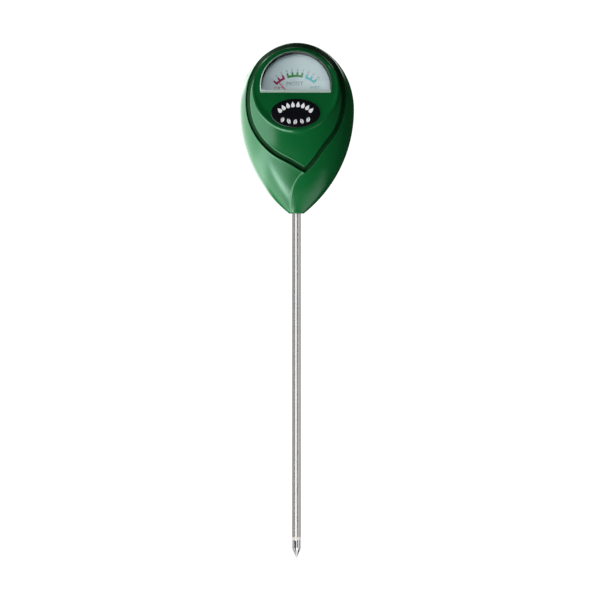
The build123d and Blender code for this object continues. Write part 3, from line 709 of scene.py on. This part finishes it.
LONGWAYS = (60, 60, 1)  # stretches a pattern into fine lines along Z
finishes = {
    "green_shell": surface(
        "green_plastic", (0.003, 0.095, 0.022), 0.20, cloud=35, grain=1600, bump=0.03, rough_spread=0.04,
        spread=0.05, tint=(0.7, 1.0, 0.86),
    ),
    "badge_black": surface("badge_black", (0.004, 0.004, 0.006), 0.22, grain=2500, bump=0.03),
    "dial_grey": surface(
        "dial_paint", (0.60, 0.74, 0.77), 0.55, cloud=400, grain=4000, bump=0.05, spread=0.03
    ),
    "screw_steel": surface("zinc_steel", (0.55, 0.55, 0.56), 0.3, 1.0, cloud=900, grain=4000, bump=0.1),
    "brass_parts": surface("turned_brass", (0.72, 0.50, 0.22), 0.3, 1.0, cloud=900, grain=4000, bump=0.1),
    "needle_red": surface("red_lacquer", (0.62, 0.03, 0.10), 0.35, cloud=900, grain=5000, bump=0.04),
    "aluminium_former": surface("bright_aluminium", (0.75, 0.75, 0.77), 0.28, 1.0, cloud=900, grain=4000),
    "copper_wire": surface(
        "copper_wire", (0.65, 0.26, 0.12), 0.3, 1.0, cloud=700, grain=9000, bump=0.5, spread=0.2
    ),
    "spring_bronze": surface("spring_bronze", (0.66, 0.40, 0.18), 0.3, 1.0, cloud=900, grain=5000),
    "magnet": surface("cast_magnet", (0.12, 0.12, 0.13), 0.6, 0.6, cloud=500, grain=2500, bump=0.4),
    "soft_iron": surface("soft_iron", (0.40, 0.40, 0.41), 0.45, 1.0, cloud=500, grain=3000, bump=0.2),
    "black_plastic": surface("black_plastic", (0.02, 0.02, 0.022), 0.5, cloud=300, grain=3000, bump=0.15),
    "probe_metal": surface(
        "drawn_tube", (0.60, 0.59, 0.585), 0.24, 1.0, cloud=90, grain=420, bump=0.08, stretch=LONGWAYS,
        rough_spread=0.07, spread=0.06,
    ),
    "liner_plastic": surface("liner_plastic", (0.85, 0.85, 0.82), 0.5, cloud=300, grain=3000),
    "ring_plastic": surface("ivory_plastic", (0.80, 0.78, 0.70), 0.4, cloud=500, grain=4000, spread=0.04),
    "tip_metal": surface(
        "plated_tip", (0.72, 0.72, 0.73), 0.14, 1.0, cloud=400, grain=900, bump=0.05, stretch=LONGWAYS
    ),
    "tinned_lug": surface("tinned_lug", (0.65, 0.65, 0.62), 0.35, 1.0, cloud=900, grain=4000, bump=0.2),
    "lead_red_sleeve": surface("red_sleeve", (0.45, 0.01, 0.01), 0.45, cloud=500, grain=4000),
    "lead_black_sleeve": surface("black_sleeve", (0.015, 0.015, 0.015), 0.45, cloud=500, grain=4000),
}


def paint(piece, material):
    piece.data.materials.clear()
    piece.data.materials.append(material)


# ---- Build -----------------------------------------------------------------------------------
node_slots = {entry["node"]: entry["material_slot"] for entry in frame["record"]["subparts"]}
for node_name, node in frame["nodes"].items():
    if node_slots[node_name] in finishes:
        paint(node, finishes[node_slots[node_name]])

shell = front_shell()
shell.data.materials.append(finishes["green_shell"])
# Second material: a darker, duller green that paints the shade on the groove's floor.
shell.data.materials.append(surface("groove_floor", (0.002, 0.035, 0.009), 0.6, grain=2500, level=0.08))
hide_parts("front_housing")

pane = lens()
pane.data.materials.append(clear("clear_acrylic", (0.9, 0.97, 0.97), 0.05, 0.08, metallic=1.0))
# Second material on the bevel: a pale green-grey, half opaque, painting the light and the green housing that the
# clear bevel shows.
pane.data.materials.append(clear("polished_bevel", (0.50, 0.66, 0.58), 0.55, 0.12))
for polygon in pane.data.polygons:
    facing = polygon.normal.dot(Vector(OUT))
    middle = (np.array(polygon.center) / MM - FACE) @ OUT
    polygon.material_index = 1 if middle > 0.05 and facing < 0.97 else 0
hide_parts("window_lens")

plate = badge()
paint(plate, finishes["badge_black"])
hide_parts("badge_plate")
# Black ring behind the cover paints the shadow line round the window's edge.
paint(lens_mask(), finishes["black_plastic"])
tip = fluted_tip()
tip.data.materials.append(finishes["tip_metal"])
tip.data.materials.append(surface("flute_shadow", (0.02, 0.02, 0.02), 0.5, grain=3000, level=0.2))
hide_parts("probe_tip")
# The dial surround is painted a darker copy of the dial grey: painted shade inside the window's arch.
surround_grey = surface("surround_grey", (0.30, 0.36, 0.39), 0.55, cloud=400, grain=4000)
paint(frame["nodes"]["dial_surround"], surround_grey)
paint(badge_print(), surface("white_print", (0.82, 0.84, 0.85), 0.45, cloud=900, grain=5000, spread=0.03))

INKS = {
    "scale_red": (0.30, 0.0, 0.09),
    "scale_green": (0.01, 0.24, 0.03),
    "scale_blue": (0.02, 0.50, 0.55),
    "scale_numbers": (0.16, 0.24, 0.25),
    "zone_moist": (0.14, 0.23, 0.24),
    "zone_dry": (0.30, 0.06, 0.12),
    "zone_wet": (0.05, 0.32, 0.33),
}
for print_name, print_piece in dial_print().items():
    ink = surface("ink_" + print_name, INKS[print_name], 0.5, cloud=900, grain=5000, spread=0.06)
    paint(print_piece, ink)

# ---- Studio ----------------------------------------------------------------------------------
FLOOR_Z = -0.5
STAGE_R, STAGE_BEND, STAGE_TOP = 4.6, 1.2, 3.4


def studio_bowl():
    """Pale floor that curves up into a round wall, seamless behind the object from every side."""
    profile = [(0.0, FLOOR_Z)]
    profile += [(STAGE_R - STAGE_BEND + STAGE_BEND * sin(t), FLOOR_Z + STAGE_BEND * (1 - cos(t)))
                for t in np.linspace(0, pi / 2, 12)]
    profile.append((STAGE_R, STAGE_TOP))
    count = 96
    points = [(0, 0, FLOOR_Z)]
    for radius, z in profile[1:]:
        for k in range(count):
            points.append((radius * sin(2 * pi * k / count), radius * cos(2 * pi * k / count), z))
    faces = [(0, 1 + k, 1 + (k + 1) % count) for k in range(count)]
    for r in range(len(profile) - 2):
        faces += join_rings(1 + r * count, 1 + (r + 1) * count, count)
    mesh = bpy.data.meshes.new("studio_bowl")
    mesh.from_pydata(points, [], faces)
    mesh.polygons.foreach_set("use_smooth", [True] * len(mesh.polygons))
    bowl = bpy.data.objects.new("studio_bowl", mesh)
    bpy.context.scene.collection.objects.link(bowl)
    material = bpy.data.materials.new("pale_floor")
    material.use_nodes = True
    shader = material.node_tree.nodes["Principled BSDF"]
    shader.inputs["Base Color"].default_value = (0.9, 0.9, 0.9, 1)
    shader.inputs["Roughness"].default_value = 0.9
    shader.inputs["Emission Color"].default_value = (1, 1, 1, 1)
    shader.inputs["Emission Strength"].default_value = 1.05
    mesh.materials.append(material)
    bowl.visible_glossy = False
    bowl.visible_diffuse = False


SHEETS, SHEET_GAP = 4, 0.002


def softbox(name, place, aim, width, height, radiance, lit=None, mirrored=True, soft=0.0, turn=0.0):
    """Rectangular light that faces aim. Radiance is how bright its surface looks, and lit holds the pieces
    it shines on. Its edges fade over soft of its size, built up from SHEETS one behind the other."""
    last = SHEETS - 1
    shares = [1 + soft * (step - last / 2) / last for step in range(SHEETS)] if soft else [1.0]
    for index, share in enumerate(shares):
        data = bpy.data.lights.new(name, "AREA")
        data.shape, data.size, data.size_y = "RECTANGLE", width * share, height * share
        data.energy = radiance / len(shares) * data.size * data.size_y * pi
        light = bpy.data.objects.new(name + "_" + str(index), data)
        bpy.context.scene.collection.objects.link(light)
        away = (Vector(aim) - Vector(place)).normalized()
        light.location = Vector(place) - away * SHEET_GAP * index
        facing = away.to_track_quat("-Z", "Y") @ Quaternion((0, 0, 1), turn)
        light.rotation_euler = facing.to_euler()
        light.visible_camera = False
        light.visible_glossy = mirrored
        if lit:
            light.light_linking.receiver_collection = lit


def gathered(name, pieces):
    """Collection of pieces for a light to shine on."""
    group = bpy.data.collections.new(name)
    for piece in pieces:
        group.objects.link(piece)
    return group


def compass(azimuth, distance, z=0.0):
    """Place at an azimuth from the reader's direction, positive to the reader's right."""
    return distance * sin(radians(azimuth)), -distance * cos(radians(azimuth)), z


def studio_lights():
    metal_nodes = ("probe_tube", "insulator_ring", "fluted_tip")
    inside_window = ("dial_plate", "dial_surround", "dial_screws", "needle_stops", "pointer_needle")
    shown = [piece for piece in bpy.context.scene.objects if piece.type == "MESH"]
    metal = gathered("metal", [piece for piece in shown if piece.name in metal_nodes])
    print_names = ("scale_", "zone_")
    dial = gathered("dial", [
        piece for piece in shown if piece.name in inside_window or piece.name.startswith(print_names)
    ])
    pane_only = gathered("pane", [pane])
    head = gathered("head", [piece for piece in shown if piece.name not in metal_nodes])

    softbox("left_panel", (-0.55, 0.42, -0.065), (0.0, 0.42, -0.065), 3.4, 0.7, 3.8, head, soft=0.25)
    softbox("back_left_panel", compass(-150, 1.5, 0.75), (0, 0, 0.05), 1.2, 0.8, 4.2, head, soft=0.3)
    softbox("back_right_panel", compass(150, 1.5, 0.95), (0, 0, 0.08), 0.8, 0.6, 2.5, head, soft=0.3)
    softbox("low_left_panel", (-0.60, -0.35, -0.48), (-0.60, -0.35, 0.0), 0.9, 1.1, 3.3, head, soft=0.5)
    softbox(
        "streak_panel", (-0.31, -0.375, -0.47), (-0.31, -0.375, 0.0), 0.45, 0.10, 13.0, head, soft=0.8,
        turn=radians(-27),
    )
    softbox("low_right_panel", (0.33, -0.02, -0.48), (0.33, -0.02, 0.0), 0.42, 0.5, 1.3, head, soft=0.7)
    softbox("right_fill", compass(70, 1.2, 0.1), (0, 0, 0.05), 1.0, 1.0, 0.8, head, mirrored=False)
    softbox("back_fill", compass(160, 1.4, 0.4), (0, 0, 0.03), 1.2, 1.2, 0.9, head, mirrored=False)

    softbox("dial_lamp", compass(0, 0.8, 0.35), (0, 0, 0.07), 0.5, 0.5, 3.3, dial, mirrored=False)
    softbox("window_glow", (0.035, -0.455, 0.31), (0, -0.015, 0.0715), 0.08, 0.3, 1.6, pane_only, soft=0.8)

    softbox("tube_key", compass(-14, 0.9, -0.05), (0, 0, -0.05), 1.0, 1.6, 1.45, metal)
    softbox("tube_left", compass(-100, 0.9, -0.05), (0, 0, -0.05), 1.1, 1.6, 0.6, metal)
    softbox("tube_right", compass(53, 0.9, -0.05), (0, 0, -0.05), 0.4, 1.6, 0.95, metal)
    softbox("tube_side", compass(100, 0.9, -0.05), (0, 0, -0.05), 1.2, 1.6, 0.6, metal)
    softbox("tube_back", compass(180, 0.9, -0.05), (0, 0, -0.05), 1.2, 1.6, 0.9, metal)
    softbox("tip_glow", (-0.05, -0.25, -0.46), (0.0, 0.0, -0.19), 0.7, 0.5, 1.5, metal)

    world = bpy.data.worlds.new("studio")
    world.use_nodes = True
    world.node_tree.nodes["Background"].inputs["Color"].default_value = (0.02, 0.02, 0.02, 1)
    bpy.context.scene.world = world


LENS_MM, SENSOR_MM = 300.0, 36.0
VIEW_WIDTH = 0.336
AIM = (0.00196, -0.0484)
TURN, RISE = radians(1.8), radians(1.6)  # the reader looks from a little right of and above square on


def studio_camera():
    data = bpy.data.cameras.new("camera")
    data.lens, data.sensor_width = LENS_MM, SENSOR_MM
    camera = bpy.data.objects.new("camera", data)
    bpy.context.scene.collection.objects.link(camera)
    away = Vector((sin(TURN) * cos(RISE), -cos(TURN) * cos(RISE), sin(RISE)))
    camera.location = Vector((AIM[0], 0, AIM[1])) + away * VIEW_WIDTH * LENS_MM / SENSOR_MM
    camera.rotation_euler = away.to_track_quat("Z", "Y").to_euler()
    data.clip_end = 20
    bpy.context.scene.camera = camera


studio_bowl()
studio_lights()
studio_camera()
bpy.context.scene.view_settings.view_transform = "Standard"
